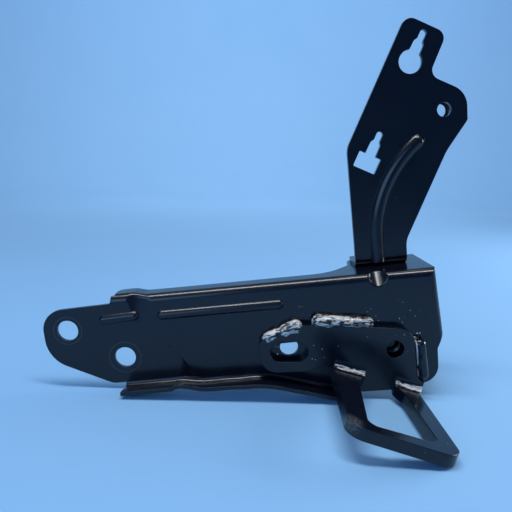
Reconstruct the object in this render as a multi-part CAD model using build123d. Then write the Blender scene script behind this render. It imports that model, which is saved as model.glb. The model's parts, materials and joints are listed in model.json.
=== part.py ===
from build123d import *
import math
import os

# Seat console bracket: a stamped channel with a mounting ear, a closing shell behind its deep end,
# an upright arm with keyholes, a bent loop of thick plate, two weld nuts and the seams that join them.
# Millimetres. The pieces are modelled in the channel's own frame: X along the channel, Y away from
# its front face, Z up, with the origin at the centre of the ear's end hole on the front face.
# The whole bracket is turned about that hole at the end, so that it stands level on its feet.

# Stock
channel_sheet = 2.0
shell_sheet = 2.0
arm_sheet = 2.5
loop_plate = 5.5
bend_inside = 2.0
loop_bend_inside = 4.5
bend_overlap = 1.0

# Mounting ear
ear_hole_diameter = 11.0
ear_edge = 12.6
ear_top_radius = 11.0
ear_heel_radius = 17.0
ear_heel_drop = 14.5
ear_bottom = 31.0
ear_bottom_start = 19.8
ear_toe_radius = 8.0
ear_top = 11.2
ear_top_end = 24.0
ear_top_rise = 1.0
ear_top_end_radius = 1.5
second_hole_x = 28.0
second_hole_drop = 17.2

# Channel
channel_start = 26.5
channel_end = 193.0
end_lean = 4.8
web_end_setback = 1.0
channel_top = 15.0
ear_side_lift = 1.5
ear_lift_run = 6.0
ear_lift_radius = 6.0
box_depth = 42.0
web_bottom = 46.5
web_corner_radius = 9.0
end_corner_radius = 12.0
end_flange_bottom = 24.0
end_notch_top = 18.0
end_notch_bottom = 28.0
end_notch_width = 5.0
end_notch_radius = 3.0

# Top flange: widths behind the front face, from the narrow end to the deep box
flange_tip_width = 13.0
flange_neck_x = 60.0
flange_neck_width = 12.2
flange_shoulder_setback = 14.5
flange_shoulder_width = 12.8
box_start = 153.5
flange_tip_radius = 4.0
flange_neck_radius = 20.0
flange_shoulder_radius = 20.0
flange_flare = 15.2
flange_flare_run = 0.8
flange_flare_radius = 4.0
box_corner_radius = 6.0

# Lower flange, bent forward along a curved edge
lower_flange_width = 13.0
lower_flange_end = 143.0
lower_flange_rise = 9.2
lower_flange_rise_past_step = 6.0
lower_stub = 3.5
lower_web_end = 2.6
lower_left = 33.0
lower_step = 1.7
lower_step_start = 53.0
lower_step_foot = 66.5
lower_step_end = 90.5
lower_curve_x = 100.5
lower_curve_radius = 55.0
lower_slope = 16.7

# Where the lower flange twists over its step: place along it, drop of its bend, rise of its tip
flange_twist = (
    (56.5, 0.3, 15.5),
    (60.5, 1.0, 16.0),
    (lower_step_foot, lower_step, 12.0),
    (78.0, lower_step, 8.5),
)

# Pressed forms in the channel
bead_width = 4.8
bead_height = 1.5
bead_inner_share = 0.7
short_bead = ((19.5, 4.0), (35.5, 4.6))
long_bead = ((50.0, 3.7), (111.0, 3.6))
saddle_x = 39.0
saddle_radius = 14.0
saddle_web_z = 0.0
saddle_flange_y = 1.7
saddle_edge = 2.0
dart_x = 163.0
dart_radius = 5.2
dart_web_z = 8.3
dart_flange_y = 6.7
dart_edge = 0.9
crease_top = (52.6, -12.5)
crease_foot = (61.5, -35.0)
crease_top_radius = 4.0
crease_foot_radius = 12.0
crease_top_depth = 0.3
crease_foot_depth = 1.3

# Holes through the web behind the loop plate
sight_hole_diameter = 9.5
sight_hole = (114.3, -19.8)
anchor_hole_setback = 24.6
anchor_hole_z = -24.3
anchor_hole_diameter = 9.2

# Upright arm: its sheet stands on the box, behind the front face
arm_plane = 19.0
arm_left = 155.2
arm_right = 183.4
arm_foot_setback = 2.0
arm_foot_radius = 2.0
arm_lean = 61.8
arm_knee = (154.4, 79.1)
arm_knee_radius = 12.0
arm_head_left = (188.3, 142.4)
arm_head_right = (208.4, 131.6)
arm_head_radius = 5.0
arm_notch = (198.9, 112.1)
arm_notch_radius = 5.0
arm_shoulder = (218.0, 102.0)
arm_shoulder_radius = 12.0
arm_elbow = (218.0, 88.0)
arm_elbow_radius = 2.0
arm_side = (206.5, 73.0)
arm_side_radius = 25.0
arm_waist_z = 27.5
arm_waist_radius = 12.0
arm_nut_hole = (206.0, 94.3)
arm_nut_hole_diameter = 7.4

# Keyholes in the arm, both along its lean
keyhole_circle = (189.5, 119.7)
keyhole_radius = 6.0
keyhole_shoulder = 11.6
keyhole_length = 16.6
square_keyhole = (162.6, 67.3)
square_keyhole_width = 12.4
square_keyhole_depth = 8.4
square_keyhole_shoulder = 16.4
square_keyhole_length = 21.3
square_keyhole_radius = 0.6
neck_overlap = 1.0
neck_wide = 6.4
neck_narrow = 3.4
neck_taper = 0.4
neck_wide_radius = 0.8
neck_narrow_radius = 0.5

# Curved rib up the arm
rib_width = 7.2
rib_height = 2.2
rib_x = 167.5
rib_arc_start = 30.0
rib_arc_radius = 62.5
rib_arc_sweep = 52.0
rib_inner_share = 0.7

# Loop of thick plate on the front face
plate_left = 98.8
plate_left_z = -13.2
plate_peak = (122.0, -7.1)
plate_top_right = (178.4, -14.0)
plate_side = (178.9, -40.0)
plate_sag = (123.5, -32.0)
plate_bottom = 31.0
plate_left_radius = 5.0
plate_peak_radius = 3.0
plate_corner_radius = 9.0
plate_side_radius = 3.0
plate_sag_radius = 8.0
lobe_radius = 9.0
plate_slot_centre = (114.1, -20.6)
plate_slot_length = 19.9
plate_slot_width = 10.9
plate_slot_tilt = -5.5
loop_bend_x = 143.9
loop_bend_z = -33.8
loop_slope = 22.2
loop_left_root = -8.4
loop_left_front = -10.7
loop_right_root = 39.6
loop_right = 37.6
loop_bar_left = 5.0
loop_bar_right = 8.0
loop_outer_radius = 8.0
loop_inner_radius = 4.5
window_left_root = 8.2
window_left = 3.4
window_left_front = -1.8
window_right_root = 25.0
window_right = 28.2
window_right_front = 29.7
window_reach = 56.0
leg_flare_reach = 10.0
leg_flare_radius = 5.0
tab_drop_left = 9.6
tab_drop_right = 3.2
tab_left_radius = 2.0
tab_right_radius = 1.0

# Rear shell, closing the channel from behind
shell_inset = 1.0
shell_lip = 6.5
shell_start = 62.0
shell_low_left = 21.0
shell_step_x = 128.0
shell_foot_start = 150.0
shell_corner_radius = 8.0
shell_bend_radius = 8.0
shell_step_radius = 6.0

# Weld nuts
anchor_nut_flats = 14.0
anchor_nut_height = 6.5
anchor_nut_bore = 6.8
arm_nut_flats = 14.0
arm_nut_height = 6.5
arm_nut_bore = 6.8
nut_chamfer = 1.0

# Weld seams
loop_weld_radius = 3.8
loop_weld_depth = 2.6
weld_play = 0.15
left_weld_start = 4.8
left_weld_end = 3.6
left_weld_start_radius = 3.0
left_weld_sunk = 0.9
top_weld_start = 8.5
top_weld_end = 34.0
top_weld_end_radius = 2.6
top_weld_proud = 1.7
right_weld_off = 3.2
right_weld_lean = 0.8
right_weld_drop = 10.0
right_weld_radius = 3.1
seam_radius = 1.8
seam_sink = 0.4
arm_weld_length = 7.0
shell_weld_length = 18.0
shell_end_weld_length = 16.0

# Blocks that only cut or trim reach past the part by this much
margin = 5.0
far = 260.0

# Edges count as lying on a face or bar when they are this near
touching = 0.01


def outline(*corners):
    """Closed face through corners given as (x, y, radius)."""
    points = [(x, y) for x, y, _ in corners]
    radii = [radius for _, _, radius in corners]
    return make_face(FilletPolyline(*points, radius=radii, close=True))


def span(low, high):
    """Box between two opposite corners."""
    size = [high[i] - low[i] for i in range(3)]
    return Pos(*low) * Box(*size, align=(Align.MIN, Align.MIN, Align.MIN))


def upright(face, near, far_side):
    """Face drawn in X and Z, made solid between two distances behind the front face."""
    return Pos(0, far_side, 0) * extrude(Plane.XZ * face, amount=far_side - near)


def tube(start, finish, radius):
    """Round bar between two points."""
    start = Vector(*start)
    run = Vector(*finish) - start
    bottom = (Align.CENTER, Align.CENTER, Align.MIN)
    return Plane(start, z_dir=run) * Cylinder(radius, run.length, align=bottom)


def capsule(start, finish, radius):
    """Round bar with round ends."""
    return tube(start, finish, radius) + Pos(*start) * Sphere(radius) + Pos(*finish) * Sphere(radius)


def bore(x, z, diameter, near, far_side):
    """Round hole along Y."""
    return tube((x, near, z), (x, far_side, z), diameter / 2)


def segment_radius(width, height):
    """Radius of the round bar that shows a segment of this width and height above a face."""
    return (width**2 / 4 + height**2) / (2 * height)


# Sizes that follow from the others
bend_outside = bend_inside + channel_sheet
bead_radius = segment_radius(bead_width, bead_height)
bead_sink = bead_radius - bead_height
rib_radius = segment_radius(rib_width, rib_height)
rib_sink = rib_radius - rib_height
lower_right = lower_left + lower_step
slope_tan = math.tan(math.radians(lower_slope))
lower_end_drop = lower_right + (lower_flange_end - lower_curve_x) * slope_tan
lower_arc_setback = lower_curve_radius * math.tan(math.radians(lower_slope / 2))
lower_arc_x = lower_curve_x - lower_arc_setback
lean_tan = math.tan(math.radians(end_lean))
web_end = channel_end - web_end_setback
flange_shoulder_x = box_start - flange_shoulder_setback
flare_x = box_start - flange_flare_run
flare_y = flange_shoulder_width + flange_flare
anchor_hole = (channel_end - anchor_hole_setback, anchor_hole_z)
arm_foot_back = box_depth - arm_foot_setback
plate_front = -loop_plate
loop_reach_left = window_reach + loop_bar_left
loop_reach_right = window_reach + loop_bar_right


def end_x(z, inset):
    """Where the leaning end flange's face stands at a height, inset from its outer face."""
    return channel_end + (channel_top - z) * lean_tan - inset / math.cos(math.radians(end_lean))


def axis_distance(point, start, finish):
    """Distance of a point from the line through two others."""
    run = Vector(*finish) - Vector(*start)
    return (point - Vector(*start)).cross(run).length / run.length


def press(form, start, finish, radius, edge_radius):
    """Cut a round bar out of the form and round the edges that the cut leaves."""
    form -= tube(start, finish, radius)

    def on_bar(edge):
        return all(abs(axis_distance(edge @ t, start, finish) - radius) < touching for t in (0.1, 0.5, 0.9))

    rim = form.edges().filter_by(on_bar).filter_by(lambda edge: edge.length > edge_radius)
    return fillet(rim, edge_radius)


def pressed_bar(x, web_z, flange_y, radius):
    """Ends of a bar laid across the top bend, touching the web at web_z and the flange at flange_y."""
    rise = channel_top - web_z
    length = math.hypot(flange_y, rise)
    out_y = -rise / length
    out_z = flange_y / length
    centre_y = out_y * radius
    centre_z = web_z + out_z * radius
    reach_y = flange_y / length * far / 2
    reach_z = rise / length * far / 2
    return (x, centre_y - reach_y, centre_z - reach_z), (x, centre_y + reach_y, centre_z + reach_z)


def crease(inset):
    """Tapering bar that presses the crease, from its faint top to its foot at the lower bend."""
    top = (crease_top[0], crease_top_depth - crease_top_radius, crease_top[1])
    foot = (crease_foot[0], crease_foot_depth - crease_foot_radius, crease_foot[1])
    return bead(top, crease_top_radius + inset, foot, crease_foot_radius + inset)


def channel_form(inset):
    """Solid inside the channel's skin, inset from the outer face, with its pressed forms."""
    radius = bend_outside - inset
    top = channel_top - inset
    side = outline(
        (-far, -far, 0),
        (-far, top + ear_side_lift, 0),
        (saddle_x - ear_lift_run / 2, top + ear_side_lift, ear_lift_radius),
        (saddle_x + ear_lift_run / 2, top, ear_lift_radius),
        (end_x(top, inset), top, 0),
        (end_x(-far, inset), -far, 0),
    )
    form = upright(side, inset, far)
    front = form.edges().filter_by(lambda edge: abs(edge.center().Y - inset) < touching)
    front_top = front.filter_by(lambda edge: edge.center().Z > channel_top / 2)
    front_right = front.filter_by(lambda edge: edge.center().X > channel_end and edge.center().Z < 0)
    top_right = form.edges().filter_by(Axis.Y).group_by(Axis.Z)[-2].group_by(Axis.X)[-1]
    form = fillet(front_top + front_right + top_right, radius)
    saddle = pressed_bar(saddle_x, saddle_web_z, saddle_flange_y, saddle_radius)
    form = press(form, *saddle, saddle_radius + inset, saddle_edge)
    dart = pressed_bar(dart_x, dart_web_z, dart_flange_y, dart_radius)
    form = press(form, *dart, dart_radius + inset, dart_edge)
    form -= crease(inset)
    bar = bead_radius - inset * bead_inner_share
    for start, finish in (short_bead, long_bead):
        form += capsule((start[0], bead_sink, start[1]), (finish[0], bead_sink, finish[1]), bar)
    return form


def channel_silhouette():
    """Front view of the channel: ear, top, end and the curved lower edge."""
    return outline(
        (-ear_edge, ear_top, ear_top_radius),
        (ear_top_end, ear_top + ear_top_rise, ear_top_end_radius),
        (channel_start, channel_top + 2 * margin, 0),
        (channel_end + 2 * margin, channel_top + 2 * margin, 0),
        (channel_end + 2 * margin, -end_notch_top, 0),
        (web_end + end_notch_width, -end_notch_top, end_notch_radius),
        (web_end, -end_notch_bottom, end_notch_radius),
        (web_end, -web_bottom, web_corner_radius),
        (lower_flange_end, -web_bottom, 0),
        (lower_flange_end, lower_web_end - lower_end_drop, 0),
        (lower_curve_x, lower_web_end - lower_right, lower_curve_radius),
        (lower_step_foot, lower_web_end - lower_right, 0),
        (lower_step_start, lower_web_end - lower_left, 0),
        (channel_start, lower_web_end - lower_left, 0),
        (channel_start, -ear_bottom, 0),
        (ear_bottom_start, -ear_bottom, ear_toe_radius),
        (-ear_edge, -ear_heel_drop, ear_heel_radius),
    )


def channel_plan():
    """Top view of the channel: the flange's back edge and the deep box."""
    return outline(
        (-ear_edge - margin, -margin, 0),
        (-ear_edge - margin, channel_sheet, 0),
        (channel_start, channel_sheet, 0),
        (channel_start, flange_tip_width, flange_tip_radius),
        (flange_neck_x, flange_neck_width, flange_neck_radius),
        (flange_shoulder_x, flange_shoulder_width, flange_shoulder_radius),
        (flare_x, flare_y, flange_flare_radius),
        (box_start, box_depth, box_corner_radius),
        (channel_end + margin, box_depth, 0),
        (channel_end + margin, -margin, 0),
    )


def end_profile():
    """Side view of the end flange and the web's edge, as a block across the end."""
    profile = outline(
        (-2 * margin, 2 * margin, 0),
        (box_depth, 2 * margin, 0),
        (box_depth, -end_flange_bottom, end_corner_radius),
        (bend_outside, -end_flange_bottom, bend_inside),
        (bend_outside, -far, 0),
        (-2 * margin, -far, 0),
    )
    return Pos(channel_end - 2 * margin, 0, 0) * extrude(Plane.YZ * profile, amount=4 * margin)


def lower_section(x, z, rise):
    """Section of the lower flange with its bend: web stub, round and the flange rising forward."""
    lift = lower_flange_width * math.tan(math.radians(rise))
    under = channel_sheet / math.cos(math.radians(rise))
    back = channel_sheet * math.tan(math.radians(rise)) + under
    profile = outline(
        (0, lower_stub, 0),
        (0, 0, bend_inside),
        (-lower_flange_width, lift, 0),
        (-lower_flange_width, lift - under, 0),
        (channel_sheet, -back, bend_outside),
        (channel_sheet, lower_stub, 0),
    )
    return Plane((x, 0, z), x_dir=(0, 1, 0), z_dir=(1, 0, 0)) * profile


def make_lower_flange():
    """The flange bent forward along the lower edge: straight, stepped, then curving down."""
    first = lower_section(channel_start, -lower_left, lower_flange_rise)
    flange = extrude(first, amount=lower_step_start - channel_start, dir=(1, 0, 0))
    stations = [
        (lower_step_start, 0, lower_flange_rise),
        *flange_twist,
        (lower_step_end, lower_step, lower_flange_rise_past_step),
    ]
    sections = [lower_section(x, -lower_left - drop, rise) for x, drop, rise in stations]
    flange += loft(sections)
    flange += extrude(sections[-1], amount=lower_arc_x - lower_step_end, dir=(1, 0, 0))
    arc_start = lower_section(lower_arc_x, -lower_right, lower_flange_rise_past_step)
    arc_axis = Axis((lower_arc_x, 0, -lower_right - lower_curve_radius), (0, 1, 0))
    flange += revolve(arc_start, arc_axis, lower_slope)
    slope = math.radians(lower_slope)
    run = (lower_flange_end - lower_curve_x) / math.cos(slope) - lower_arc_setback
    down_slope = (math.cos(slope), 0, -math.sin(slope))
    return flange + extrude(arc_start.rotate(arc_axis, lower_slope), amount=run, dir=down_slope)


def make_channel():
    skin = channel_form(0) - channel_form(channel_sheet)
    front_view = upright(channel_silhouette(), -margin, box_depth + margin)
    skin &= front_view
    skin &= Pos(0, 0, -far / 2) * extrude(channel_plan(), amount=far)
    skin -= span((channel_end - margin, -margin, -far), (channel_end + margin, far, margin)) - end_profile()
    skin += make_lower_flange() - (crease(0) & front_view)
    skin -= bore(0, 0, ear_hole_diameter, -margin, margin)
    skin -= bore(second_hole_x, -second_hole_drop, ear_hole_diameter, -margin, margin)
    skin -= bore(*sight_hole, sight_hole_diameter, -margin, margin)
    skin -= bore(*anchor_hole, anchor_hole_diameter, -margin, margin)
    return skin


def arm_outline():
    """Front view of the arm, from its foot's underside up."""
    return outline(
        (arm_left, channel_top, 0),
        (arm_left, arm_waist_z, 0),
        (*arm_knee, arm_knee_radius),
        (*arm_head_left, arm_head_radius),
        (*arm_head_right, arm_head_radius),
        (*arm_notch, arm_notch_radius),
        (*arm_shoulder, arm_shoulder_radius),
        (*arm_elbow, arm_elbow_radius),
        (*arm_side, arm_side_radius),
        (arm_right, arm_waist_z, arm_waist_radius),
        (arm_right, channel_top, 0),
    )


def keyhole_neck(start, shoulder, end):
    """Stepped neck along +X from the keyhole's reference point."""
    wide = neck_wide / 2
    narrow = neck_narrow / 2
    return outline(
        (start, -wide, 0),
        (shoulder - narrow, neck_taper - wide, neck_wide_radius),
        (shoulder, -narrow, neck_narrow_radius),
        (end, -narrow, narrow - neck_taper / 4),
        (end, narrow, narrow - neck_taper / 4),
        (shoulder, narrow, neck_narrow_radius),
        (shoulder - narrow, wide - neck_taper, neck_wide_radius),
        (start, wide, 0),
    )


def arm_keyholes():
    """Both keyholes in the arm's front view."""
    round_hole = Circle(keyhole_radius) + keyhole_neck(0, keyhole_shoulder, keyhole_length)
    entry = RectangleRounded(square_keyhole_depth, square_keyhole_width, square_keyhole_radius)
    square_hole = Pos(square_keyhole_depth / 2, 0) * entry
    square_hole += keyhole_neck(neck_overlap, square_keyhole_shoulder, square_keyhole_length)
    lean = Rot(0, 0, arm_lean)
    return Pos(*keyhole_circle) * lean * round_hole + Pos(*square_keyhole) * lean * square_hole


def rib_bar(radius, low):
    """Round bar along the rib: a straight run up from low, an arc and a round tip."""
    y = arm_plane + rib_sink
    centre_x = rib_x + rib_arc_radius
    foot = tube((rib_x, y, low), (rib_x, y, rib_arc_start), radius)
    ring = Plane((rib_x, y, rib_arc_start), z_dir=(0, 0, 1)) * Circle(radius)
    axis = Axis((centre_x, y, rib_arc_start), (0, 1, 0))
    bend = revolve(ring, axis, rib_arc_sweep)
    turn = math.radians(rib_arc_sweep)
    tip_x = centre_x - rib_arc_radius * math.cos(turn)
    tip_z = rib_arc_start + rib_arc_radius * math.sin(turn)
    return foot + bend + Pos(tip_x, y, tip_z) * Sphere(radius)


def make_arm():
    back = arm_plane + arm_sheet
    foot_top = channel_top + arm_sheet
    plate = upright(arm_outline(), arm_plane, back)
    foot = outline(
        (arm_left, arm_plane, 0),
        (arm_left, arm_foot_back, arm_foot_radius),
        (arm_right, arm_foot_back, arm_foot_radius),
        (arm_right, arm_plane, 0),
    )
    arm = plate + Pos(0, 0, channel_top) * extrude(foot, amount=arm_sheet)
    inner = arm.edges().filter_by(Axis.X).filter_by_position(Axis.Z, foot_top - touching, foot_top + touching)
    arm = fillet(inner.group_by(Axis.Y)[0], bend_inside)
    outer = arm.edges().filter_by(Axis.X).group_by(Axis.Z)[0].group_by(Axis.Y)[0]
    arm = fillet(outer, bend_inside + arm_sheet)
    arm += rib_bar(rib_radius, channel_top + bend_inside)
    arm -= rib_bar(rib_radius - arm_sheet * rib_inner_share, channel_top + 2 * arm_sheet)
    arm -= upright(arm_keyholes(), -far, far)
    arm -= bore(*arm_nut_hole, arm_nut_hole_diameter, 0, far)
    return arm


def loop_plane():
    """Plane of the loop's top face: X along the bend, Y away from the front, Z up."""
    turn = math.radians(loop_slope)
    along = (math.cos(turn), 0, -math.sin(turn))
    normal = (math.sin(turn), 0, math.cos(turn))
    return Plane((loop_bend_x, plate_front, loop_bend_z), x_dir=along, z_dir=normal)


def on_bend(along, up):
    """Front-view place of a point given along the loop's bend and up from it."""
    turn = math.radians(loop_slope)
    x = loop_bend_x + along * math.cos(turn) + up * math.sin(turn)
    z = loop_bend_z - along * math.sin(turn) + up * math.cos(turn)
    return x, z


# The bracket stands on the lower flange's rounded bend and the lower edge of the loop's right leg
flange_lift = math.radians(lower_flange_rise)
flange_low = bend_outside - bend_inside * (math.tan(flange_lift) + 1 / math.cos(flange_lift))
flange_foot = (channel_start, -lower_left - flange_low)
loop_foot = on_bend(loop_right, -loop_plate)
floor_tan = (flange_foot[1] - loop_foot[1]) / (loop_foot[0] - flange_foot[0])
rest_tilt = math.degrees(math.atan(floor_tan))


def floor_z(x):
    """Height of the standing plane, in the channel's frame."""
    return flange_foot[1] - (x - flange_foot[0]) * floor_tan


def plate_outline():
    """Front view of the plate that lies on the channel, down to where the loop's legs start to bend."""
    root = loop_bend_inside
    return outline(
        (plate_left, plate_left_z, plate_left_radius),
        (*plate_peak, plate_peak_radius),
        (*plate_top_right, plate_corner_radius),
        (*plate_side, plate_side_radius),
        (*on_bend(loop_right_root, root), 0),
        (*on_bend(window_right_root, root), 0),
        (*on_bend(window_right_root, -tab_drop_right), tab_right_radius),
        (*on_bend(window_left_root, -tab_drop_left), tab_left_radius),
        (*on_bend(window_left_root, root), 0),
        (*on_bend(loop_left_root, root), 0),
        (*plate_sag, plate_sag_radius),
        (plate_left, -plate_bottom, lobe_radius),
    )


def loop_legs():
    """The loop: a strip of the plate bent forward, with its window cut out."""
    reach = max(loop_reach_left, loop_reach_right) + margin
    section = outline(
        (-reach, 0, 0),
        (0, 0, loop_bend_inside),
        (0, loop_bend_inside + bend_overlap, 0),
        (loop_plate, loop_bend_inside + bend_overlap, 0),
        (loop_plate, -loop_plate, loop_bend_inside + loop_plate),
        (-reach, -loop_plate, 0),
    )
    top = loop_plane()
    along = Plane(top.origin, x_dir=(0, 1, 0), z_dir=top.x_dir)
    strip = extrude(along * section, amount=2 * loop_right, both=True)
    flare = loop_bend_inside
    plan = outline(
        (loop_left_root, 2 * loop_plate, 0),
        (loop_left_root, 0, 0),
        (loop_left_front, -loop_reach_left, loop_outer_radius),
        (loop_right, -loop_reach_right, loop_outer_radius),
        (loop_right, -flare, 0),
        (loop_right_root, 0, 0),
        (loop_right_root, 2 * loop_plate, 0),
        (window_right_root, 2 * loop_plate, 0),
        (window_right_root, -flare / 2, 0),
        (window_right, -leg_flare_reach, leg_flare_radius),
        (window_right_front, -window_reach, loop_inner_radius),
        (window_left_front, -window_reach, loop_inner_radius),
        (window_left, -leg_flare_reach, leg_flare_radius),
        (window_left_root, -flare / 2, 0),
        (window_left_root, 2 * loop_plate, 0),
    )
    return strip & extrude(top * plan, amount=3 * loop_plate, both=True)


def make_loop():
    bracket = upright(plate_outline(), plate_front, 0) + loop_legs()
    slot = Rot(0, 0, plate_slot_tilt) * SlotOverall(plate_slot_length, plate_slot_width)
    bracket -= upright(Pos(*plate_slot_centre) * slot, -far, far)
    bracket -= bore(*anchor_hole, anchor_hole_diameter, -far, far)
    return bracket


def shell_plan(inset):
    """Top view of the rear shell's outer face, just inside the flange's back edge."""
    front = -far
    plan = outline(
        (0, front, 0),
        (0, flange_neck_width - shell_inset, 0),
        (flange_neck_x, flange_neck_width - shell_inset, 0),
        (flange_shoulder_x + shell_inset, flange_shoulder_width - shell_inset, shell_bend_radius),
        (flare_x + shell_inset, flare_y - shell_inset, shell_bend_radius),
        (box_start + 2 * shell_inset, box_depth - shell_inset, shell_bend_radius),
        (far, box_depth - shell_inset, 0),
        (far, front, 0),
    )
    return offset(plan, amount=-inset, kind=Kind.INTERSECTION) if inset else plan


def shell_form(inset):
    """Solid inside the rear shell's skin, inset from its outer face."""
    top = channel_top - channel_sheet - inset
    reach = channel_sheet + inset
    side = outline((0, -far, 0), (0, top, 0), (end_x(top, reach), top, 0), (end_x(-far, reach), -far, 0))
    body = upright(side, -far, far) & (Pos(0, 0, -far) * extrude(shell_plan(inset), amount=2 * far))
    back = body.edges().filter_by(lambda edge: edge.center().Y > 0)
    corner = back.filter_by(lambda edge: edge.center().Z < 0).group_by(Axis.X)[-1].group_by(Axis.Y)[-1]
    rim = back.group_by(Axis.Z)[-1].filter_by(lambda edge: edge.center().X > margin)
    return fillet(rim + corner, bend_inside + shell_sheet - inset)


def make_shell():
    skin = shell_form(0) - shell_form(shell_sheet)
    band = shell_plan(0) - shell_plan(shell_lip)
    skin &= Pos(0, 0, -far / 2) * extrude(band, amount=far)
    silhouette = outline(
        (shell_start, 2 * channel_top, 0),
        (channel_end + margin, 2 * channel_top, 0),
        (channel_end + margin, floor_z(channel_end + margin), shell_corner_radius),
        (shell_foot_start, floor_z(shell_foot_start), shell_step_radius),
        (shell_step_x, -shell_low_left, shell_step_radius),
        (shell_start, -shell_low_left, shell_corner_radius),
    )
    skin &= upright(silhouette, 0, far)
    lip_end = box_depth - shell_inset - shell_lip
    lip_side = channel_end - channel_sheet - shell_lip - margin
    return skin - span((lip_side, -far, -far), (far, lip_end, channel_top))


def make_nut(place, seat, flats, height, diameter):
    """Hexagonal weld nut standing on a rear face, with its outer corners broken."""
    hexagon = Pos(*place) * RegularPolygon(flats / 2, 6, major_radius=False)
    nut = upright(hexagon, seat, seat + height)
    rim = nut.faces().sort_by(Axis.Y)[-1].edges()
    return chamfer(rim, nut_chamfer) - bore(*place, diameter, 0, far)


def bead(start, start_radius, finish, finish_radius):
    """Weld bead: a tapering bar with round ends."""
    run = Vector(*finish) - Vector(*start)
    bottom = (Align.CENTER, Align.CENTER, Align.MIN)
    bar = Plane(start, z_dir=run) * Cone(start_radius, finish_radius, run.length, align=bottom)
    return bar + Pos(*start) * Sphere(start_radius) + Pos(*finish) * Sphere(finish_radius)


def along_edge(first, second, x, proud):
    """Place on the plate's upper edge between two corners, moved off the edge by proud."""
    slope = (second[1] - first[1]) / (second[0] - first[0])
    return (x, plate_front + loop_weld_depth, first[1] + (x - first[0]) * slope + proud)


def loop_welds():
    """The three seams round the plate, in front of the channel and outside the plate."""
    corner = (plate_left, plate_left_z)
    left = bead(
        along_edge(corner, plate_peak, plate_left + left_weld_start, -left_weld_sunk),
        left_weld_start_radius,
        along_edge(corner, plate_peak, plate_peak[0] - left_weld_end, 0),
        loop_weld_radius,
    )
    top = bead(
        along_edge(plate_peak, plate_top_right, plate_peak[0] + top_weld_start, top_weld_proud),
        loop_weld_radius,
        along_edge(plate_peak, plate_top_right, plate_peak[0] + top_weld_end, top_weld_proud),
        top_weld_end_radius,
    )
    side_x = plate_top_right[0] + right_weld_off
    middle_y = plate_front + loop_weld_depth
    right = capsule(
        (side_x, middle_y, plate_top_right[1] - right_weld_drop),
        (side_x + right_weld_lean, middle_y, plate_side[1]),
        right_weld_radius,
    )
    seams = {"loop_weld_left": left, "loop_weld_top": top, "loop_weld_right": right}
    plate = upright(offset(plate_outline(), amount=weld_play), plate_front, margin)
    channel = span((0, 0, -far), (far, far, far))
    return {name: seam - channel - plate for name, seam in seams.items()}


def arm_welds(solids):
    """Two short seams behind the arm's foot."""
    seams = {}
    starts = {
        "arm_weld_left": arm_left + arm_foot_radius,
        "arm_weld_right": arm_right - arm_foot_radius - arm_weld_length,
    }
    height = channel_top + seam_sink
    for name, start in starts.items():
        finish = start + arm_weld_length
        seam = capsule((start, arm_foot_back, height), (finish, arm_foot_back, height), seam_radius)
        seams[name] = seam - solids["support_arm"] - solids["main_channel"]
    return seams


def shell_welds(solids):
    """Seams that join the rear shell to the channel's top and end flanges."""
    slope = (flange_shoulder_width - flange_neck_width) / (flange_shoulder_x - flange_neck_x)
    under = channel_top - channel_sheet - seam_sink
    box_back = box_depth - seam_sink
    neck_start = flange_neck_x + 2 * shell_weld_length
    neck_back = flange_neck_width + (neck_start - flange_neck_x) * slope - seam_sink
    box_weld_start = (box_start + channel_end - shell_weld_length) / 2
    end_top = -shell_end_weld_length / 4
    end_low = end_top - shell_end_weld_length
    runs = {
        "shell_weld_neck": (
            (neck_start, neck_back, under),
            (neck_start + shell_weld_length, neck_back + shell_weld_length * slope, under),
        ),
        "shell_weld_box": (
            (box_weld_start, box_back, under),
            (box_weld_start + shell_weld_length, box_back, under),
        ),
        "shell_weld_end": (
            (end_x(end_top, channel_sheet + seam_sink), box_back, end_top),
            (end_x(end_low, channel_sheet + seam_sink), box_back, end_low),
        ),
    }
    joined = [solids["main_channel"], solids["rear_shell"]]
    return {name: capsule(*ends, seam_radius) - joined for name, ends in runs.items()}


def make_bracket():
    """Every piece in the channel's frame, by name."""
    solids = {
        "main_channel": make_channel(),
        "rear_shell": make_shell(),
        "support_arm": make_arm(),
        "loop_bracket": make_loop(),
        "anchor_weld_nut": make_nut(
            anchor_hole, channel_sheet, anchor_nut_flats, anchor_nut_height, anchor_nut_bore
        ),
        "arm_weld_nut": make_nut(
            arm_nut_hole, arm_plane + arm_sheet, arm_nut_flats, arm_nut_height, arm_nut_bore
        ),
    }
    solids.update(loop_welds())
    solids.update(arm_welds(solids))
    solids.update(shell_welds(solids))
    return solids


os.makedirs("parts", exist_ok=True)
for name, solid in make_bracket().items():
    export_step(Rot(0, -rest_tilt, 0) * solid, f"parts/{name}.step")
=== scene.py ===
import json
import math
import random

import bmesh
import bpy
from mathutils import Matrix, Vector, noise


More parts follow.
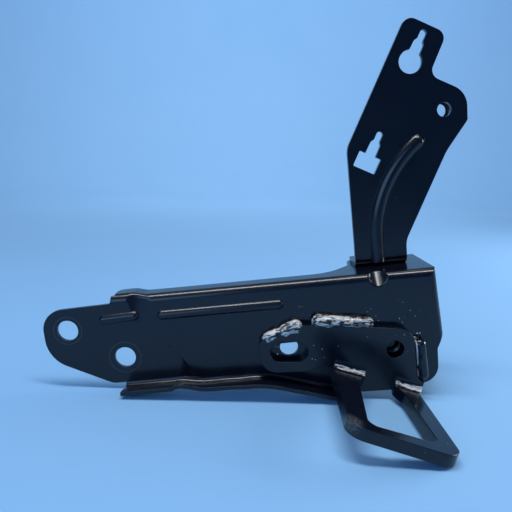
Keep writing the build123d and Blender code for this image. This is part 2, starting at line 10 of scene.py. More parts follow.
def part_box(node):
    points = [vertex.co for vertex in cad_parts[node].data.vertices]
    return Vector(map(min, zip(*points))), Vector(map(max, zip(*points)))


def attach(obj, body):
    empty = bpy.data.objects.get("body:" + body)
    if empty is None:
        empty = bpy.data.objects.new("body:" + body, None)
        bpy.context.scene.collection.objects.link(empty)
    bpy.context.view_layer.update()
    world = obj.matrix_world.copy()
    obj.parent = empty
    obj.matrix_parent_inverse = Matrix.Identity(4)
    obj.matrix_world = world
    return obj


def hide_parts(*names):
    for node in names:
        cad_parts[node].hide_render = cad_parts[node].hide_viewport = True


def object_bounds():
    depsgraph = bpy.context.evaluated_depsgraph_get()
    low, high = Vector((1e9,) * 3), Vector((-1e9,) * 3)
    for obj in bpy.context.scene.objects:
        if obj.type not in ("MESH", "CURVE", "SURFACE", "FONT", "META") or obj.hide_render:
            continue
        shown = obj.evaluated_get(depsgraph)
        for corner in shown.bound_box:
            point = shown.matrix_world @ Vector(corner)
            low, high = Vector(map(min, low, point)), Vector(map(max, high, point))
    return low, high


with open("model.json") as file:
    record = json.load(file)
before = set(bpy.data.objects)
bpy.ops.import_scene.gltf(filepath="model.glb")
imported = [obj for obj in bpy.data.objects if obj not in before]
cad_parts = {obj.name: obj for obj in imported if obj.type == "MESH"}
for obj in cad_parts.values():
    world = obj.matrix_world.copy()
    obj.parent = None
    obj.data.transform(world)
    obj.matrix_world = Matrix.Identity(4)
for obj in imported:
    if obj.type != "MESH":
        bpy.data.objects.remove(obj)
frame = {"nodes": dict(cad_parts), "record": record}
cad_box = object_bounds()
nodes = frame["nodes"]
record = frame["record"]
mounts = {mount["name"]: Vector(mount["pos_m"]) for mount in record["mounts"]}

# Metres throughout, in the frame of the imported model: X along the channel, Y to the back, Z up.
MM = 0.001
FLOOR_Z = cad_box[0].z

# The bracket stands turned about its ear hole by this much against its channel's own direction
REST_TILT = math.radians(7.0056)

# The camera that took the picture: where it stood, how far it looked down and how it was rolled
CAMERA_PLACE = Vector((0.0960, -0.2580, 0.0892))
CAMERA_PITCH = math.radians(10.3)
CAMERA_ROLL = math.radians(1.52)
CAMERA_LENS = 36.28
CAMERA_SENSOR = 36.0


def on_channel(x, y, z):
    """Place given in millimetres along, behind and above the channel's ear hole."""
    turned_x = x * math.cos(REST_TILT) - z * math.sin(REST_TILT)
    turned_z = x * math.sin(REST_TILT) + z * math.cos(REST_TILT)
    return Vector((turned_x, y, turned_z)) * MM


# Colours, as linear values
BLACK = (0.0012, 0.0020, 0.0052)
DUST = (0.30, 0.30, 0.30)
RING_GREY = (0.10, 0.10, 0.10)
# Grey of bare steel, used for scuffs that also carry a painted highlight
RUBBED_STEEL_AND_HIGHLIGHT = (0.66, 0.65, 0.63)
# Grey of bare steel for the right seam's specks, and for its painted highlight along the toe
BARE_STEEL_AND_HIGHLIGHT = (0.80, 0.80, 0.81)
SILVER = (0.68, 0.655, 0.62)
DULL_STEEL = (0.30, 0.31, 0.33)
COATED = (0.010, 0.011, 0.013)
SLAG_BROWN = (0.50, 0.32, 0.16)
SLAG_BEIGE = (0.85, 0.62, 0.38)
FLOOR_BLUE = (0.22, 0.43, 0.68)
FLOOR_PALE = (0.24, 0.45, 0.70)
SOFT_WHITE = (0.93, 0.97, 1.0)
SOFT_BLUE = (0.32, 0.58, 1.0)
SKY = (0.75, 0.86, 1.0)
SKY_STRENGTH = 0.30

# Width of the rings that washers left, and the height over which a seam's foot turns from bare to coated
RING_WIDTH = 0.45 * MM
FOOT_FADE = 0.6 * MM

# How much dust, a washer's ring and a scuff with its painted highlight change the coat's colour and add to
# its roughness
DUST_TINT = 0.4
DUST_ROUGHNESS = 0.3
RING_TINT = 0.3
RING_ROUGHNESS = 0.25
SCUFF_AND_HIGHLIGHT_ROUGHNESS = 0.22
SCUFF_AND_HIGHLIGHT_METALLIC = 0.6

# The plate's bend runs down to the right, and the loop's front left corner has a rubbed patch with a
# painted highlight on it
BEND_SLOPE = math.radians(22.2)
LOOP_TURN = REST_TILT - BEND_SLOPE
LOOP_CORNER = on_channel(135.0, -62.0, -31.0)


# Node materials

def new_material(name):
    material = bpy.data.materials.new(name)
    material.use_nodes = True
    tree = material.node_tree
    tree.nodes.clear()
    output = tree.nodes.new("ShaderNodeOutputMaterial")
    shader = tree.nodes.new("ShaderNodeBsdfPrincipled")
    tree.links.new(shader.outputs["BSDF"], output.inputs["Surface"])
    return material, tree, shader


def object_points(tree):
    return tree.nodes.new("ShaderNodeTexCoord").outputs["Object"]


def noise_value(tree, points, scale, detail=3.0, rough=0.55):
    """Noise from 0 to 1, its scale in waves per metre."""
    node = tree.nodes.new("ShaderNodeTexNoise")
    node.inputs["Scale"].default_value = scale
    node.inputs["Detail"].default_value = detail
    node.inputs["Roughness"].default_value = rough
    tree.links.new(points, node.inputs["Vector"])
    return node.outputs["Fac"]


def remap(tree, value, given, wanted=(0.0, 1.0)):
    """Carries a value from the given range to the wanted one, and stops it at both ends."""
    node = tree.nodes.new("ShaderNodeMapRange")
    node.inputs["From Min"].default_value = given[0]
    node.inputs["From Max"].default_value = given[1]
    node.inputs["To Min"].default_value = wanted[0]
    node.inputs["To Max"].default_value = wanted[1]
    tree.links.new(value, node.inputs["Value"])
    return node.outputs["Result"]


def maths(tree, kind, first, second=None):
    node = tree.nodes.new("ShaderNodeMath")
    node.operation = kind
    for socket, value in zip(node.inputs, (first, second)):
        if value is None:
            continue
        if isinstance(value, (int, float)):
            socket.default_value = value
        else:
            tree.links.new(value, socket)
    return node.outputs["Value"]


def mix_colour(tree, share, first, second):
    node = tree.nodes.new("ShaderNodeMix")
    node.data_type = "RGBA"
    tree.links.new(share, node.inputs["Factor"])
    for socket, value in ((node.inputs[6], first), (node.inputs[7], second)):
        if isinstance(value, tuple):
            socket.default_value = (*value, 1.0)
        else:
            tree.links.new(value, socket)
    return node.outputs[2]


def specks(tree, points, scale, size, share):
    """Scattered round dots: 1 inside a dot, 0 outside, on a share of the cells."""
    cells = tree.nodes.new("ShaderNodeTexVoronoi")
    cells.inputs["Scale"].default_value = scale
    tree.links.new(points, cells.inputs["Vector"])
    inside = remap(tree, cells.outputs["Distance"], (size * 0.6, size), (1.0, 0.0))
    pick = tree.nodes.new("ShaderNodeSeparateColor")
    tree.links.new(cells.outputs["Color"], pick.inputs["Color"])
    chosen = maths(tree, "LESS_THAN", pick.outputs["Red"], share)
    return maths(tree, "MULTIPLY", inside, chosen)


def bump(tree, height, strength, distance, under=None):
    node = tree.nodes.new("ShaderNodeBump")
    node.inputs["Strength"].default_value = strength
    node.inputs["Distance"].default_value = distance
    tree.links.new(height, node.inputs["Height"])
    if under is not None:
        tree.links.new(under, node.inputs["Normal"])
    return node.outputs["Normal"]


def soft_edges(tree, radius):
    node = tree.nodes.new("ShaderNodeBevel")
    node.samples = 6
    node.inputs["Radius"].default_value = radius
    return node.outputs["Normal"]


def distance_from(tree, points, centre):
    node = tree.nodes.new("ShaderNodeVectorMath")
    node.operation = "DISTANCE"
    node.inputs[1].default_value = centre
    tree.links.new(points, node.inputs[0])
    return node.outputs["Value"]


def ring_mark(tree, points, centre, radius):
    """1 on a faint circle round a hole, fading to 0 on both sides."""
    off = maths(tree, "SUBTRACT", distance_from(tree, points, centre), radius)
    return remap(tree, maths(tree, "ABSOLUTE", off), (0.0, RING_WIDTH), (1.0, 0.0))


def turned_points(tree, turn, stretch=(1.0, 1.0, 1.0)):
    """Object points turned about Y, then stretched, so that a noise runs in streaks along a line."""
    node = tree.nodes.new("ShaderNodeMapping")
    node.vector_type = "TEXTURE"
    node.inputs["Rotation"].default_value = (0.0, -turn, 0.0)
    node.inputs["Scale"].default_value = stretch
    tree.links.new(object_points(tree), node.inputs["Vector"])
    return node.outputs["Vector"]


def near_place(tree, points, centre, inner, outer):
    """1 within the inner distance of a place, fading to 0 at the outer one."""
    return remap(tree, distance_from(tree, points, centre), (inner, outer), (1.0, 0.0))


def axes_of(tree, vector):
    """The X, Y and Z of a vector, as outputs of these names."""
    node = tree.nodes.new("ShaderNodeSeparateXYZ")
    tree.links.new(vector, node.inputs["Vector"])
    return node.outputs


def scaled(colour, share):
    return tuple(channel * share for channel in colour)


def coat_material(name, tint, peel, edge_radius, rings=(), scuffs_and_highlights=None):
    """Glossy black dip coat: orange peel, slow waves of the sheet, dust, washer rings and scuffs that carry
    a painted highlight.
    """
    material, tree, shader = new_material(name)
    points = object_points(tree)
    broad = noise_value(tree, points, scale=30.0, detail=2.0)
    cloud = noise_value(tree, points, scale=160.0, detail=4.0)
    dust = maths(
        tree,
        "MAXIMUM",
        specks(tree, points, scale=240.0, size=0.07, share=0.10),
        specks(tree, points, scale=560.0, size=0.08, share=0.07),
    )
    deep = mix_colour(tree, cloud, tint, scaled(tint, 2.0))
    colour = mix_colour(tree, maths(tree, "MULTIPLY", dust, DUST_TINT), deep, DUST)
    smear = remap(tree, broad, (0.35, 0.7), (0.16, 0.22))
    rough = maths(tree, "ADD", smear, remap(tree, cloud, (0.3, 0.8), (0.0, 0.06)))
    marks = None
    for centre, radius in rings:
        mark = ring_mark(tree, points, centre, radius)
        marks = mark if marks is None else maths(tree, "MAXIMUM", marks, mark)
    if marks is not None:
        rough = maths(tree, "ADD", rough, maths(tree, "MULTIPLY", marks, RING_ROUGHNESS))
        colour = mix_colour(tree, maths(tree, "MULTIPLY", marks, RING_TINT), colour, RING_GREY)
    if scuffs_and_highlights is not None:
        # The scuffs mix bare grey steel with a painted highlight on the loop's bend
        wear_and_highlight = scuffs_and_highlights(tree, points)
        colour = mix_colour(tree, wear_and_highlight, colour, RUBBED_STEEL_AND_HIGHLIGHT)
        rough = maths(tree, "ADD", rough, maths(tree, "MULTIPLY", wear_and_highlight, SCUFF_AND_HIGHLIGHT_ROUGHNESS))
        tree.links.new(maths(tree, "MULTIPLY", wear_and_highlight, SCUFF_AND_HIGHLIGHT_METALLIC), shader.inputs["Metallic"])
    rough = maths(tree, "ADD", rough, maths(tree, "MULTIPLY", dust, DUST_ROUGHNESS))
    tree.links.new(colour, shader.inputs["Base Color"])
    tree.links.new(rough, shader.inputs["Roughness"])
    shader.inputs["Specular IOR Level"].default_value = 0.5
    normal = soft_edges(tree, edge_radius)
    normal = bump(tree, broad, strength=0.22, distance=0.5 * MM, under=normal)
    orange_peel = noise_value(tree, points, scale=900.0, detail=2.0)
    normal = bump(tree, orange_peel, strength=peel, distance=0.04 * MM, under=normal)
    normal = bump(tree, dust, strength=0.4, distance=0.05 * MM, under=normal)
    tree.links.new(normal, shader.inputs["Normal"])
    return material


def bend_scuffs_and_highlights(tree, points):
    """Bare streaks and a painted highlight on the bend at both legs of the loop, on the faces turned up and
    to the front, and a rubbed patch with a painted highlight at its corner.
    """
    along = turned_points(tree, LOOP_TURN, stretch=(8.0, 1.0, 1.0))
    streak = noise_value(tree, along, scale=1100.0, rough=0.6)
    ragged = noise_value(tree, points, scale=420.0)
    rubbed_and_lit = noise_value(tree, points, scale=2400.0, rough=0.6)
    normal = axes_of(tree, tree.nodes.new("ShaderNodeNewGeometry").outputs["Normal"])
    shift = remap(tree, ragged, (0.3, 0.7), (-0.16, 0.16))
    # Painted highlight: the grey streaks fall only where the bend turns up and to the front, towards the
    # overhead lamp
    up = remap(tree, maths(tree, "ADD", normal["Z"], shift), (0.42, 0.52))
    front = remap(tree, maths(tree, "ADD", normal["Y"], shift), (-0.56, -0.46), (1.0, 0.0))
    bend = maths(tree, "MULTIPLY", up, front)
    # The corner patch is rubbed steel with a painted highlight
    corner = near_place(tree, points, LOOP_CORNER, inner=1.0 * MM, outer=6.0 * MM)
    streaked = maths(tree, "MULTIPLY", bend, remap(tree, streak, (0.42, 0.54)))
    patched = maths(tree, "MULTIPLY", corner, remap(tree, rubbed_and_lit, (0.46, 0.70), (0.0, 0.35)))
    return maths(tree, "MAXIMUM", streaked, patched)


def weld_material(name, bright, turn=0.0, foot_y=-0.9 * MM, coated_over=False):
    """Weld metal: silver streaks along the seam, with coat in its folds, at its foot or all over."""
    material, tree, shader = new_material(name)
    points = object_points(tree)
    along = turned_points(tree, turn, stretch=(7.0, 1.0, 1.0))
    streak = noise_value(tree, along, scale=1000.0, rough=0.6)
    cloud = noise_value(tree, points, scale=300.0)
    foot = remap(tree, axes_of(tree, points)["Y"], (foot_y, foot_y + FOOT_FADE))
    folds = maths(tree, "ADD", streak, remap(tree, cloud, (0.35, 0.65), (-0.07, 0.07)))
    coated = remap(tree, folds, (0.46, 0.55))
    if coated_over:
        coated = remap(tree, cloud, (0.30, 0.40), (0.85, 1.0))
    coated = maths(tree, "MAXIMUM", coated, foot)
    metal = mix_colour(tree, cloud, scaled(bright, 0.8), bright)
    tree.links.new(mix_colour(tree, coated, metal, COATED), shader.inputs["Base Color"])
    tree.links.new(remap(tree, coated, (0.0, 1.0), (0.25, 0.0)), shader.inputs["Metallic"])
    tree.links.new(remap(tree, coated, (0.0, 1.0), (0.42, 0.16)), shader.inputs["Roughness"])
    tree.links.new(bump(tree, streak, strength=0.35, distance=0.2 * MM), shader.inputs["Normal"])
    return material


def painted_weld_material(name, turn, line):
    """Seam under the full coat, with a painted highlight in a thin bright line along its left toe, and a
    few bare specks.
    """
    material, tree, shader = new_material(name)
    points = object_points(tree)
    cloud = noise_value(tree, points, scale=240.0)
    level = axes_of(tree, turned_points(tree, turn))
    wander = remap(tree, cloud, (0.3, 0.7), (-0.25 * MM, 0.25 * MM))
    off = maths(tree, "SUBTRACT", maths(tree, "ADD", level["X"], wander), line)
    # Painted highlight: a thin bright line along the seam's left toe
    toe_highlight = remap(tree, maths(tree, "ABSOLUTE", off), (0.2 * MM, 0.4 * MM), (1.0, 0.0))
    wear_and_highlight = maths(tree, "MULTIPLY", toe_highlight, remap(tree, cloud, (0.40, 0.48), (0.0, 0.9)))
    wear_and_highlight = maths(tree, "MAXIMUM", wear_and_highlight, specks(tree, points, scale=420.0, size=0.14, share=0.12))
    deep = mix_colour(tree, cloud, BLACK, scaled(BLACK, 2.0))
    tree.links.new(mix_colour(tree, wear_and_highlight, deep, BARE_STEEL_AND_HIGHLIGHT), shader.inputs["Base Color"])
    tree.links.new(remap(tree, wear_and_highlight, (0.0, 1.0), (0.0, 0.6)), shader.inputs["Metallic"])
    tree.links.new(remap(tree, wear_and_highlight, (0.0, 1.0), (0.15, 0.4)), shader.inputs["Roughness"])
    tree.links.new(bump(tree, cloud, strength=0.2, distance=0.3 * MM), shader.inputs["Normal"])
    return material


def slag_material():
    """Glassy beige slag that stays on a seam in small drops."""
    material, tree, shader = new_material("slag")
    points = object_points(tree)
    colour = mix_colour(tree, noise_value(tree, points, scale=1800.0), SLAG_BROWN, SLAG_BEIGE)
    tree.links.new(colour, shader.inputs["Base Color"])
    shader.inputs["Roughness"].default_value = 0.35
    grain = noise_value(tree, points, scale=3500.0)
    tree.links.new(bump(tree, grain, strength=0.3, distance=0.05 * MM), shader.inputs["Normal"])
    return material


def floor_material():
    material, tree, shader = new_material("pale_floor")
    points = object_points(tree)
    colour = mix_colour(tree, noise_value(tree, points, scale=4.0, detail=2.0), FLOOR_BLUE, FLOOR_PALE)
    tree.links.new(colour, shader.inputs["Base Color"])
    shader.inputs["Roughness"].default_value = 0.85
    shader.inputs["Specular IOR Level"].default_value = 0.2
    weave = noise_value(tree, points, scale=700.0, detail=1.0)
    tree.links.new(bump(tree, weave, strength=0.15, distance=0.2 * MM), shader.inputs["Normal"])
    return material


# Centres and radii of the washer rings
HOLE_RINGS = (
    (mounts["ear_hole"], 7.3 * MM),
    (mounts["web_hole"], 8.3 * MM),
)
black_coat = coat_material("black_coat", BLACK, peel=0.30, edge_radius=0.35 * MM, rings=HOLE_RINGS)
plate_coat = coat_material("plate_coat", BLACK, peel=0.25, edge_radius=0.6 * MM, scuffs_and_highlights=bend_scuffs_and_highlights)
nut_coat = coat_material("nut_coat", BLACK, peel=0.20, edge_radius=0.25 * MM)
left_weld = weld_material("left_weld", SILVER, turn=REST_TILT + math.radians(13.5))
top_weld = weld_material("top_weld", SILVER, turn=REST_TILT - math.radians(7.0))
dark_weld = weld_material("dark_weld", DULL_STEEL, coated_over=True)
# The right seam's painted highlight line lies 179.7 mm along the channel
right_weld = painted_weld_material("right_weld", turn=REST_TILT, line=179.7 * MM)
loose_metal = weld_material("loose_metal", SILVER, foot_y=5.0 * MM)
slag = slag_material()

COATS = {
    "main_channel": black_coat,
    "rear_shell": black_coat,
    "support_arm": black_coat,
    "loop_bracket": plate_coat,
    "anchor_weld_nut": nut_coat,
    "arm_weld_nut": nut_coat,
}


def dress(node, material):
    mesh = nodes[node].data
    mesh.materials.clear()
    mesh.materials.append(material)


for node_name in nodes:
    dress(node_name, COATS.get(node_name, dark_weld))


# Mesh pieces

def add_piece(name, mesh_data, material, replaced=()):
    piece = bpy.data.objects.new(name, mesh_data)
    bpy.context.scene.collection.objects.link(piece)
    mesh_data.materials.append(material)
    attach(piece, "root")
    if replaced:
        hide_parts(*replaced)
    return piece


def smooth_mesh(name, mesh):
    """Mesh data with smooth faces that all point outwards."""
    bmesh.ops.recalc_face_normals(mesh, faces=mesh.faces)
    data = bpy.data.meshes.new(name)
    mesh.to_mesh(data)
    mesh.free()
    for polygon in data.polygons:
        polygon.use_smooth = True
    return data


def bridge(mesh, low, high):
    """Faces between two rings with as many points."""
    count = len(low)
    for j in range(count):
        k = (j + 1) % count
        mesh.faces.new((low[j], low[k], high[k], high[j]))


# The noises that shape a seam: the run of each along the seam, its pace across it and its own part
STREAK_RUN = 7.0 * MM
STREAK_PACE = 0.95
LUMP_RUN = 2.6 * MM
LUMP_PACE = 0.5
LUMP_PART = 40.0
WAVE_RUN = 9.0 * MM
WAVE_PART = 80.0

# Where a seam's waist is and how long, as shares of its run, and the form of its ripples
WAIST_PLACE = 0.45
WAIST_RUN = 0.09
RIPPLE_BEND = 0.45
RIPPLE_POWER = 1.6
RIPPLE_MEAN = 0.6

# How a seam is meshed, and how much smaller it is than the solid seam that it replaces
SEAM_RINGS = 170
SEAM_AROUND = 56
SEAM_FIT = 0.97
LEAST_RADIUS = 0.02 * MM


def ripple(along, off, pitch):
    """Height of the frozen puddle's edge: steps along the seam, hardly curved back at its sides."""
    phase = (along + RIPPLE_BEND * abs(off) ** RIPPLE_POWER) / pitch
    step = phase - math.floor(phase)
    return 1.0 - step ** 2


def seam_frame(first, last):
    """Directions along a seam, across it and out of the metal towards the front."""
    axis = (last - first).normalized()
    side = axis.cross(Vector((0, 1, 0))).normalized()
    return axis, side, Vector((0, -1, 0))


def seam_height(s, t, angle, radius, seam, seed):
    """Radius of a seam's surface at s along it, share t of its run, and an angle round it."""
    across = angle * radius / MM
    streaks = noise.noise(Vector((s / STREAK_RUN, across * STREAK_PACE, seed)))
    lumps = noise.noise(Vector((s / LUMP_RUN, across * LUMP_PACE, seed + LUMP_PART)))
    waves = noise.noise(Vector((s / WAVE_RUN, 0.5, seed + WAVE_PART)))
    size = radius * (1 + seam["waves"] * waves)
    size += seam["streaks"] * MM * streaks + seam["lumps"] * MM * lumps
    steps = ripple(s, math.cos(angle) * radius, seam["pitch"] * MM) - RIPPLE_MEAN
    size += seam["ripple"] * MM * steps
    for place, turn, width, depth in seam["pits"]:
        gap = Vector(((t - place) * seam["run"] / width, (angle - turn) * radius / MM / width))
        size -= depth * MM * math.exp(-gap.length_squared)
    return size


def seam_mesh(name, ends, radii, seam, seed):
    """A seam with frozen streaks, lumps and pits, swept between two places with round ends."""
    first, last = ends
    axis, side, out = seam_frame(first, last)
    run = (last - first).length
    seam = dict(seam, run=run / MM)
    total = run + radii[0] + radii[1]
    mesh = bmesh.new()
    grid = []
    for i in range(1, SEAM_RINGS):
        s = total * (1 - math.cos(math.pi * i / SEAM_RINGS)) / 2 - radii[0]
        t = min(max(s / run, 0.0), 1.0)
        radius = radii[0] + (radii[1] - radii[0]) * t
        over = max(-s / radii[0], (s - run) / radii[1], 0.0)
        cap = math.sqrt(max(1 - over ** 2, 0.0))
        waist = 1.0 - seam["waist"] * math.exp(-(((t - WAIST_PLACE) / WAIST_RUN) ** 2))
        ring = []
        for j in range(SEAM_AROUND):
            angle = 2 * math.pi * j / SEAM_AROUND
            size = seam_height(s, t, angle, radius, seam, seed) * cap * waist
            way = side * math.cos(angle) + out * math.sin(angle)
            ring.append(mesh.verts.new(first + axis * s + way * max(size, LEAST_RADIUS)))
        grid.append(ring)
    for low, high in zip(grid, grid[1:]):
        bridge(mesh, low, high)
    mesh.faces.new(list(reversed(grid[0])))
    mesh.faces.new(grid[-1])
    return smooth_mesh(name, mesh)


# How far a drop is from a ball: the height, grain and own part of its noise, and its depth in Y
DROP_WOBBLE = 0.18
DROP_GRAIN = 1.7
DROP_PART = 3.1
DROP_FLATNESS = 0.8


def drop_mesh(name, drops):
    """Small frozen drops: uneven balls, flatter in Y, each given by its place and radius."""
    mesh = bmesh.new()
    for index, (place, radius) in enumerate(drops):
        ball = bmesh.ops.create_icosphere(mesh, subdivisions=3, radius=1.0)
        for vert in ball["verts"]:
            wobble = 1 + DROP_WOBBLE * noise.noise(vert.co * DROP_GRAIN + Vector((index * DROP_PART, 0, 0)))
            shape = Vector((vert.co.x, vert.co.y * DROP_FLATNESS, vert.co.z)) * wobble
            vert.co = place + shape * radius
    return smooth_mesh(name, mesh)


# Seam forms: waves and waist as shares of the radius, the rest in millimetres. A pit is given by its
# share of the run, its angle round the seam, its width and its depth.
BRIGHT_SEAM = {
    "waves": 0.06, "streaks": 0.30, "lumps": 0.10, "ripple": 0.05, "pitch": 1.5, "waist": 0.0,
    "pits": ((0.80, 1.5, 1.1, 0.5), (0.34, 2.0, 0.8, 0.4)),
}
LEFT_SEAM = dict(BRIGHT_SEAM, waist=0.20, pits=((0.62, 1.2, 0.6, 0.5), (0.22, 1.9, 0.7, 0.45)))
SMOOTH_SEAM = dict(BRIGHT_SEAM, streaks=0.16, lumps=0.10, ripple=0.07, pitch=1.9, waves=0.04, pits=())
SMALL_SEAM = dict(BRIGHT_SEAM, streaks=0.08, lumps=0.10, ripple=0.14, pitch=1.2, waves=0.08, pits=())

SEED_STEP = 7.3

# Each seam: its node, the ends of its centre line with their radii in millimetres, form and finish
SEAMS = (
    ("loop_weld_left", (103.6, -2.9, -12.84), 3.0, (118.4, -2.9, -8.05), 3.8, LEFT_SEAM, left_weld),
    ("loop_weld_top", (130.5, -2.9, -6.44), 3.8, (156.0, -2.9, -9.56), 2.7, BRIGHT_SEAM, top_weld),
    ("loop_weld_right", (181.7, -2.9, -24.0), 3.4, (182.6, -2.9, -40.0), 3.4, SMOOTH_SEAM, right_weld),
    ("arm_weld_left", (157.2, 40.0, 15.4), 1.8, (164.2, 40.0, 15.4), 1.8, SMALL_SEAM, dark_weld),
    ("arm_weld_right", (174.4, 40.0, 15.4), 1.8, (181.4, 40.0, 15.4), 1.8, SMALL_SEAM, dark_weld),
    ("shell_weld_neck", (96.0, 12.1, 12.6), 1.8, (114.0, 12.2, 12.6), 1.8, SMALL_SEAM, dark_weld),
    ("shell_weld_box", (164.3, 41.6, 12.6), 1.8, (182.3, 41.6, 12.6), 1.8, SMALL_SEAM, dark_weld),
    ("shell_weld_end", (192.2, 41.6, -4.0), 1.8, (193.5, 41.6, -20.0), 1.8, SMALL_SEAM, dark_weld),
)
for seed, (node_name, first, first_radius, last, last_radius, form, material) in enumerate(SEAMS):
    ends = (on_channel(*first), on_channel(*last))
    radii = (first_radius * SEAM_FIT * MM, last_radius * SEAM_FIT * MM)
    data = seam_mesh(node_name + "_ripple", ends, radii, form, seed * SEED_STEP)
    add_piece(node_name + "_ripple", data, material, (node_name,))


# Slag drops on the bright seams: place and radius in millimetres
SLAG_DROPS = (
    ((146.6, -6.5, -7.3), 1.05),
    ((112.8, -5.8, -7.8), 0.95),
    ((106.2, -5.3, -11.0), 0.45),
    ((137.2, -6.3, -6.0), 0.40),
)
slag_drops = [(on_channel(*place), radius * MM) for place, radius in SLAG_DROPS]
add_piece("slag_drops", drop_mesh("slag_drops", slag_drops), slag)

# Spatter that stuck round the seams: the centre of each zone, its half width and height, how many drops
# it has and the largest radius, in millimetres. The smallest radius is a share of the largest.
SPATTER_SEED = 11
SMALLEST_SHARE = 0.45
SPATTER_ZONES = (
    ((181.4, -0.1, -20.3), 1.6, 1.6, 9, 0.75),
    ((176.0, -0.1, -6.0), 9.0, 7.0, 12, 0.24),
    ((160.0, -0.1, -7.0), 4.0, 4.0, 6, 0.30),
    ((125.0, -0.1, -1.5), 9.0, 4.0, 7, 0.22),
    ((106.0, -5.5, -19.5), 3.0, 3.0, 5, 0.26),
    ((128.5, -5.5, -22.0), 3.5, 6.0, 6, 0.26),
    ((146.0, -5.5, -18.0), 9.0, 6.0, 6, 0.22),
    ((172.0, -5.5, -21.0), 3.0, 5.0, 5, 0.24),
    ((183.6, -4.9, -32.0), 0.8, 6.0, 5, 0.36),
)
chance = random.Random(SPATTER_SEED)
spatter = []
for (x, y, z), wide, high, count, largest in SPATTER_ZONES:
    for _ in range(count):
        radius = largest * chance.uniform(SMALLEST_SHARE, 1.0)
        spot = on_channel(x + wide * chance.uniform(-1, 1), y, z + high * chance.uniform(-1, 1))
        spatter.append((spot, radius * MM))
add_piece("weld_spatter", drop_mesh("weld_spatter", spatter), loose_metal)


# Weld nuts with cut threads: the width across flats, the core radius and the M8 thread
NUT_FLATS = 14.0 * MM
NUT_CORE = 3.4 * MM
THREAD_PITCH = 1.25 * MM
THREAD_DEPTH = 0.62 * MM
THREAD_FLAT = 0.1
THREAD_FLARE = 0.9 * MM
THREAD_STEPS = 64
NUT_AROUND = 120
SHARP_EDGE = math.radians(32)

# A nut's corners are broken by a cone at each face, less deeply at the seat. The levels are the
# heights of its outer rings from both faces, in millimetres.
BROKEN_RADIUS = NUT_FLATS * 0.475
BROKEN_SLOPE = 1.73
SEAT_LESS = 0.3 * MM
LEVELS = (0.0, 0.12, 0.25, 0.4, 0.55, 0.75, 1.0, 1.3)


def hexagon_radius(angle):
    """Distance from the nut's centre to its side, with a corner at the rest tilt."""
    sixth = math.pi / 3
    return NUT_FLATS / 2 / math.cos((angle - REST_TILT) % sixth - sixth / 2)


def thread_radius(height, angle):
    """Radius of a cut thread's flank, a ridge that climbs one pitch each turn."""
    phase = (height / THREAD_PITCH + angle / (2 * math.pi)) % 1.0
    flank = abs(2 * phase - 1)
    return NUT_CORE + THREAD_DEPTH * min(max((flank - THREAD_FLAT) / (1 - 2 * THREAD_FLAT), 0.0), 1.0)


def nut_mesh(name, centre, seat, height):
    """Hexagonal weld nut: corners broken at both faces and a thread cut through it."""
    mesh = bmesh.new()

    def ring(y, radius_at):
        verts = []
        for j in range(NUT_AROUND):
            angle = 2 * math.pi * j / NUT_AROUND
            radius = radius_at(angle)
            place = (centre.x + radius * math.cos(angle), y, centre.z + radius * math.sin(angle))
            verts.append(mesh.verts.new(place))
        return verts

    def outside(from_face):
        return lambda angle: min(hexagon_radius(angle), BROKEN_RADIUS + from_face * BROKEN_SLOPE)

    heights = [level * MM for level in LEVELS] + [height - level * MM for level in reversed(LEVELS)]
    shell = [ring(seat + h, outside(min(h + SEAT_LESS, height - h))) for h in heights]
    for low, high in zip(shell, shell[1:]):
        bridge(mesh, low, high)
    cut = []
    for i in range(THREAD_STEPS + 1):
        h = height * i / THREAD_STEPS
        flare = max(THREAD_FLARE - min(h, height - h), 0.0)
        cut.append(ring(seat + h, lambda angle: thread_radius(h, angle) + flare))
    for low, high in zip(cut, cut[1:]):
        bridge(mesh, low, high)
    bridge(mesh, shell[0], cut[0])
    bridge(mesh, shell[-1], cut[-1])
    return smooth_mesh(name, mesh)


NUTS = (
    ("anchor_weld_nut", mounts["anchor_thread"]),
    ("arm_weld_nut", mounts["arm_thread"]),
)
for node_name, place in NUTS:
    low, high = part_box(node_name)
    data = nut_mesh(node_name + "_threaded", place, low.y, high.y - low.y)
    nut = add_piece(node_name + "_threaded", data, nut_coat, (node_name,))
    split = nut.modifiers.new("sharp_edges", "EDGE_SPLIT")
    split.split_angle = SHARP_EDGE


# Floor, lamps and camera

def make_floor():
    """Plain pale floor that turns up into a wall all round, far from the object."""
    flat = 1.5
    bend = 0.9
    wall = 2.2
    flat_rings = 6
    bend_rings = 12
    around = 96
    profile = [(flat * i / flat_rings, 0.0) for i in range(1, flat_rings + 1)]
    for i in range(1, bend_rings + 1):
        turn = math.pi / 2 * i / bend_rings
        profile.append((flat + bend * math.sin(turn), bend * (1 - math.cos(turn))))
    profile.append((flat + bend, wall))
    centre_x = (cad_box[0].x + cad_box[1].x) / 2
    mesh = bmesh.new()
    grid = []
    for radius, height in profile:
        ring = []
        for j in range(around):
            angle = 2 * math.pi * j / around
            place = (centre_x + radius * math.cos(angle), radius * math.sin(angle), FLOOR_Z + height)
            ring.append(mesh.verts.new(place))
        grid.append(ring)
    mesh.faces.new(grid[0])
    for low, high in zip(grid, grid[1:]):
        bridge(mesh, low, high)
    floor = bpy.data.objects.new("floor", smooth_mesh("floor", mesh))
    bpy.context.scene.collection.objects.link(floor)
    floor.data.materials.append(floor_material())


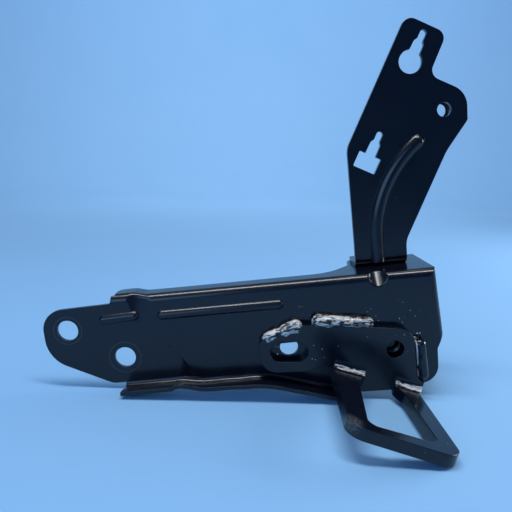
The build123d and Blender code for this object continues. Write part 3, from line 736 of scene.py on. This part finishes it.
def make_lamp(name, place, target, size, power, colour=(1.0, 1.0, 1.0)):
    lamp = bpy.data.lights.new(name, "AREA")
    lamp.shape = "RECTANGLE"
    lamp.size, lamp.size_y = size
    lamp.energy = power
    lamp.color = colour
    holder = bpy.data.objects.new(name, lamp)
    bpy.context.scene.collection.objects.link(holder)
    holder.visible_camera = False
    holder.location = place
    holder.rotation_mode = "QUATERNION"
    holder.rotation_quaternion = (target - Vector(place)).to_track_quat("-Z", "Y")


def make_world():
    world = bpy.data.worlds.new("studio")
    bpy.context.scene.world = world
    world.use_nodes = True
    tree = world.node_tree
    tree.nodes.clear()
    output = tree.nodes.new("ShaderNodeOutputWorld")
    background = tree.nodes.new("ShaderNodeBackground")
    background.inputs["Color"].default_value = (*SKY, 1.0)
    background.inputs["Strength"].default_value = SKY_STRENGTH
    tree.links.new(background.outputs["Background"], output.inputs["Surface"])


def make_camera():
    camera = bpy.data.cameras.new("camera")
    camera.sensor_fit = "HORIZONTAL"
    camera.sensor_width = CAMERA_SENSOR
    camera.lens = CAMERA_LENS
    camera.clip_start = 0.01
    camera.clip_end = 20.0
    holder = bpy.data.objects.new("camera", camera)
    bpy.context.scene.collection.objects.link(holder)
    right = Vector((math.cos(CAMERA_ROLL), 0, math.sin(CAMERA_ROLL)))
    level_up = Vector((-math.sin(CAMERA_ROLL), 0, math.cos(CAMERA_ROLL)))
    ahead = Vector((0, math.cos(CAMERA_PITCH), 0)) - level_up * math.sin(CAMERA_PITCH)
    up = Vector((0, math.sin(CAMERA_PITCH), 0)) + level_up * math.cos(CAMERA_PITCH)
    holder.matrix_world = Matrix((right, up, -ahead)).transposed().to_4x4()
    holder.location = CAMERA_PLACE
    bpy.context.scene.camera = holder


# What the lamps point at
middle = (cad_box[0] + cad_box[1]) / 2
arm_middle = Vector((0.17, 0.03, 0.10))
wall_middle = Vector((0.10, 2.2, 0.4))

make_floor()
make_world()
make_lamp("overhead", (0.06, -0.12, 0.85), middle, size=(0.80, 0.13), power=6.2, colour=SOFT_WHITE)
make_lamp("right_side", (0.88, 0.20, 0.22), arm_middle, size=(0.60, 0.26), power=5.0, colour=SOFT_WHITE)
make_lamp("left_side", (-0.32, -0.62, 0.28), arm_middle, size=(0.70, 0.44), power=2.4, colour=SOFT_BLUE)
make_lamp("backdrop", (0.10, 1.00, 1.30), wall_middle, size=(1.2, 0.4), power=22.0)
make_camera()
bpy.context.scene.view_settings.view_transform = "Standard"
